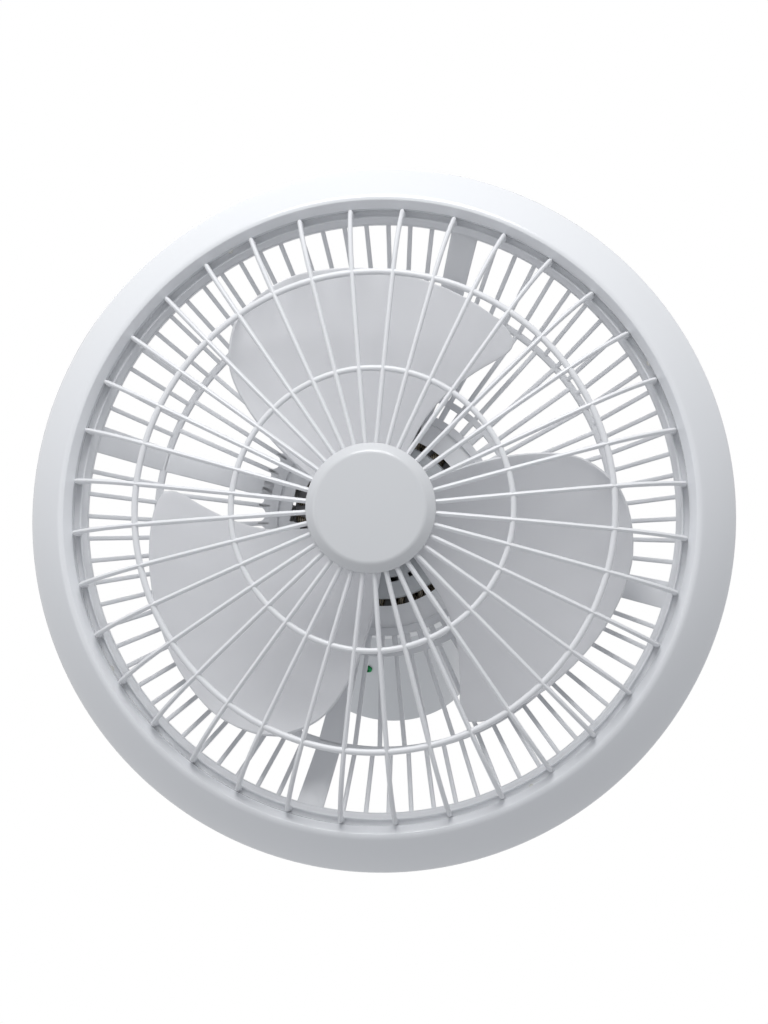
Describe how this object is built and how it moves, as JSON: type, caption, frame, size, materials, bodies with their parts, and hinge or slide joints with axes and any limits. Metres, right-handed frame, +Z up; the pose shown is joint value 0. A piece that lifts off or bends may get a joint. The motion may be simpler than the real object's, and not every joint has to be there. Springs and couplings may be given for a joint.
{
  "type": "orbital ceiling fan",
  "caption": "Caged ceiling fan whose head hangs tilted from a ball joint under a round canopy and is swept round in a circle by a slow motor while its blades turn.",
  "frame": {"origin": "centre of the ceiling plate's upper face, where it meets the ceiling", "axes": "+Z up into the ceiling, -Y towards the side that the tilted head faces at rest, +X to its right"},
  "size_m": [0.5, 0.3895, 0.406],
  "materials": {
    "zinc_plate": "dull zinc plated",
    "screw_steel": "bright zinc plated",
    "earth_green": "green lacquer",
    "rubber_black": "matt",
    "gland_grey": "matt",
    "block_ivory": "matt",
    "case_black": "matt",
    "motor_steel": "pressed, plated",
    "cast_alloy": "cast, pale grey lacquer",
    "motor_alloy": "as cast",
    "bronze": "sintered, oiled",
    "ground_steel": "ground and polished",
    "core_steel": "stacked sheet, oiled",
    "copper": "varnished copper",
    "washer_nylon": "natural",
    "canopy_white": "gloss white enamel",
    "cover_white": "satin",
    "guard_white": "satin",
    "trim_white": "gloss",
    "blade_grey": "semi-gloss"
  },
  "bodies": {
    "base": {"ceiling_plate": "zinc_plate", "plate_grommet": "rubber_black", "hanger": "zinc_plate", "hanger_screws": "screw_steel", "terminal_block": "block_ivory", "run_capacitor": "case_black", "swing_motor": "motor_steel", "mechanism_screws": "screw_steel", "mechanism_case": "cast_alloy", "orbit_bush": "bronze", "socket_housing": "cast_alloy", "case_screws": "screw_steel", "retaining_ring": "cast_alloy", "ring_screws": "screw_steel", "canopy": "canopy_white", "canopy_screws": "screw_steel", "canopy_gland": "gland_grey", "earth_screw": "earth_green"},
    "orbit": {"swing_shaft": "ground_steel", "crank": "motor_alloy", "crank_bush": "bronze", "crank_screw": "screw_steel"},
    "head": {"swivel_ball": "ground_steel", "tail_pin": "ground_steel", "anti_turn_peg": "ground_steel", "neck": "cast_alloy", "neck_screws": "screw_steel", "motor_cover": "cover_white", "cover_gland": "gland_grey", "rear_shield": "motor_alloy", "rear_bearing": "bronze", "stator_core": "core_steel", "rear_winding": "copper", "front_winding": "copper", "front_shield": "motor_alloy", "front_bearing": "bronze", "motor_bolts": "screw_steel", "motor_pan": "cover_white", "rear_guard": "guard_white", "guard_screws": "screw_steel", "trim_ring": "trim_white", "rim_screws": "screw_steel", "front_grille": "trim_white", "centre_cap": "trim_white"},
    "rotor": {"motor_shaft": "ground_steel", "rotor_core": "core_steel", "thrust_washers": "washer_nylon", "fan_blades": "blade_grey", "drive_pin": "ground_steel", "blade_nut": "blade_grey"}
  },
  "joints": [
    {"name": "orbit_turn", "type": "hinge", "parent": "base", "child": "orbit", "pos_m": [0, 0, -0.14161], "axis": [0, 0, 1], "continuous": true},
    {"name": "head_swivel", "type": "hinge", "parent": "orbit", "child": "head", "pos_m": [0, 0, -0.14161], "axis": [0, 0.6428, 0.766], "continuous": true},
    {"name": "rotor_spin", "type": "hinge", "parent": "head", "child": "rotor", "pos_m": [0, 0, -0.14161], "axis": [0, 0.6428, 0.766], "continuous": true}
  ],
  "couplings": [
    {"joint": "head_swivel", "follows": "orbit_turn", "ratio": -1}
  ]
}
